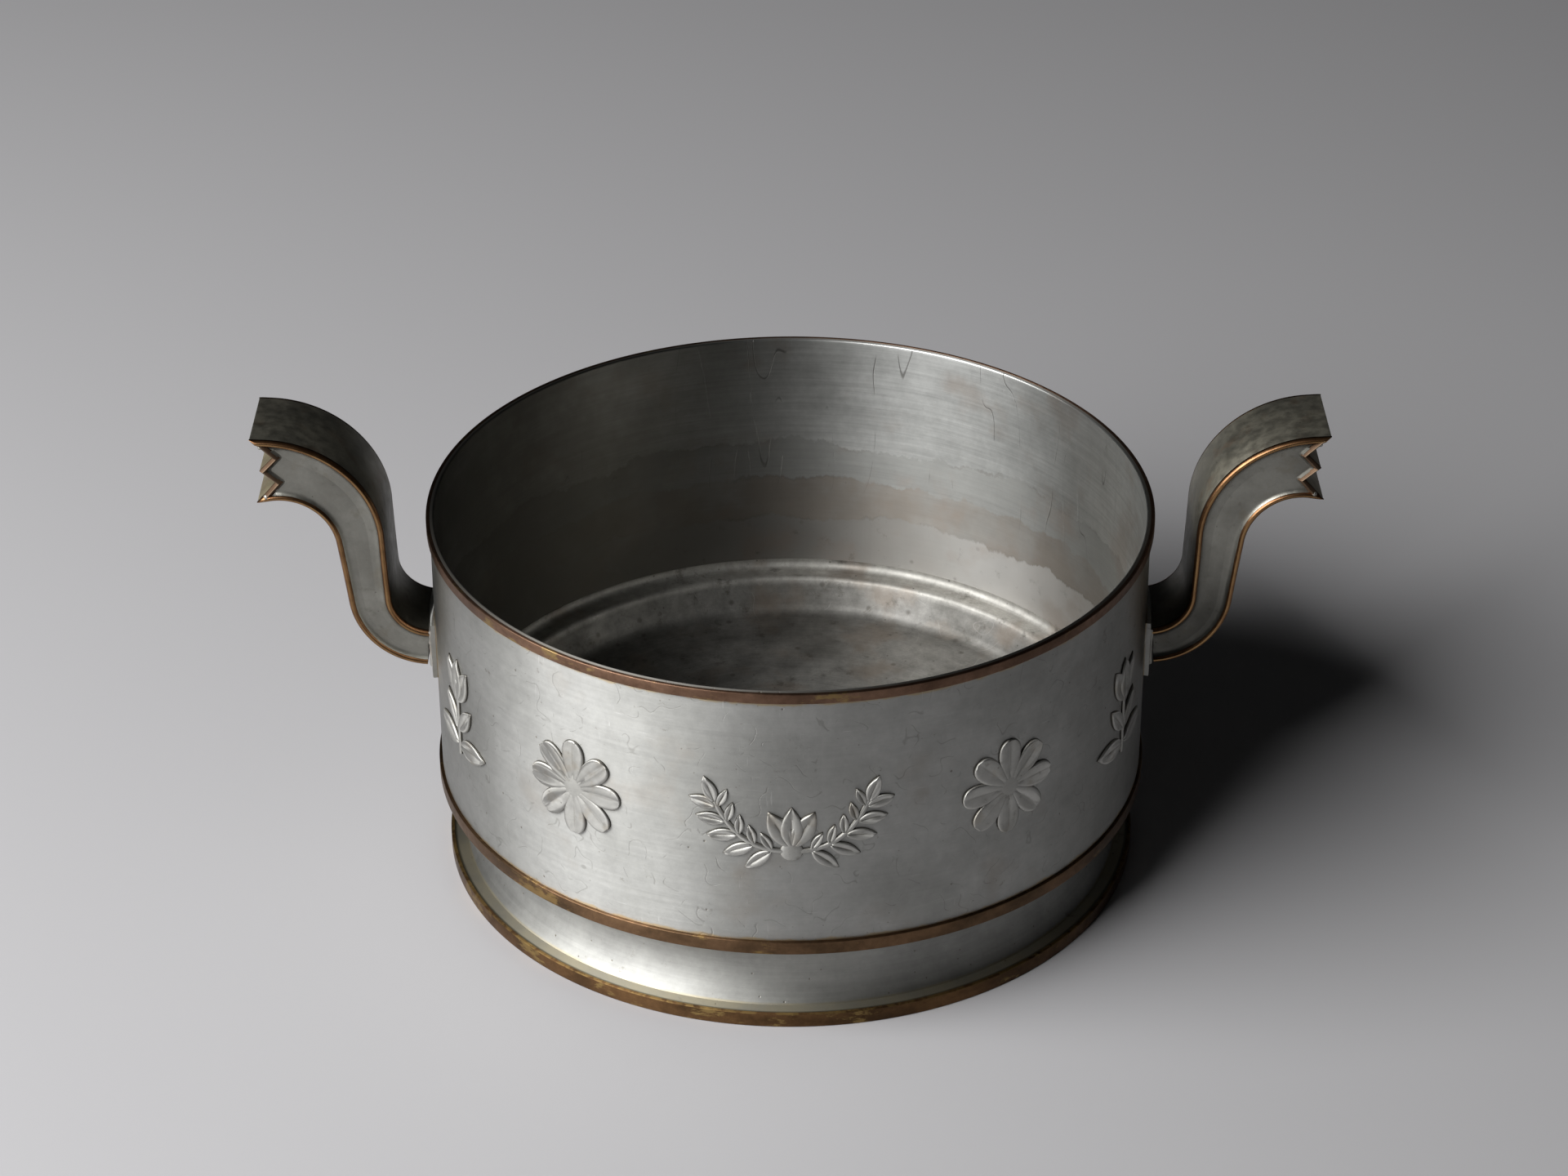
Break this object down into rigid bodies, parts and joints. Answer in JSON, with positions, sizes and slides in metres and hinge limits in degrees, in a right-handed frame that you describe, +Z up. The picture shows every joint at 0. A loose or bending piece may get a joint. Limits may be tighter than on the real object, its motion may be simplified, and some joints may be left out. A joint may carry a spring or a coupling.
{
  "type": "tureen",
  "caption": "Round footed metal tureen without a lid: straight wall with applied leaf ornaments and brass edging, a stepped pan for the bottom, and fixed S-curved handles at the sides.",
  "frame": {"origin": "centre of the foot, on the surface that the tureen stands on", "axes": "+X through the right-hand handle as seen from the front, -Y towards the front, +Z up"},
  "size_m": [0.4658, 0.32, 0.2118],
  "materials": {
    "wall_pewter": "satin pewter, finely brushed round the wall, with scratches and small pits",
    "pan_pewter": "worn pewter with brown tide marks and dark spots",
    "foot_pewter": "satin pewter, with a dark line along the ledge",
    "handle_pewter": "dark patinated pewter, paler in the side panels",
    "ornament_pewter": "satin pewter relief with dark lines in its grooves",
    "band_brass": "brown patinated brass with golden worn patches",
    "edging_brass": "orange brown brass, polished by handling along its crest"
  },
  "bodies": {
    "root": {"vessel_wall": "wall_pewter", "vessel_pan": "pan_pewter", "foot_ring": "foot_pewter", "rim_band": "band_brass", "belt_band": "band_brass", "foot_band": "band_brass", "front_spray": "ornament_pewter", "front_left_rosette": "ornament_pewter", "front_right_rosette": "ornament_pewter", "front_left_sprig": "ornament_pewter", "front_right_sprig": "ornament_pewter", "back_spray": "ornament_pewter", "back_left_rosette": "ornament_pewter", "back_right_rosette": "ornament_pewter", "back_left_sprig": "ornament_pewter", "back_right_sprig": "ornament_pewter", "right_handle_plate": "wall_pewter", "right_handle_body": "handle_pewter", "right_handle_front_upper_edging": "edging_brass", "right_handle_front_lower_edging": "edging_brass", "right_handle_front_zigzag_edging": "edging_brass", "right_handle_back_upper_edging": "edging_brass", "right_handle_back_lower_edging": "edging_brass", "right_handle_back_zigzag_edging": "edging_brass", "left_handle_plate": "wall_pewter", "left_handle_body": "handle_pewter", "left_handle_front_upper_edging": "edging_brass", "left_handle_front_lower_edging": "edging_brass", "left_handle_front_zigzag_edging": "edging_brass", "left_handle_back_upper_edging": "edging_brass", "left_handle_back_lower_edging": "edging_brass", "left_handle_back_zigzag_edging": "edging_brass"}
  },
  "joints": []
}
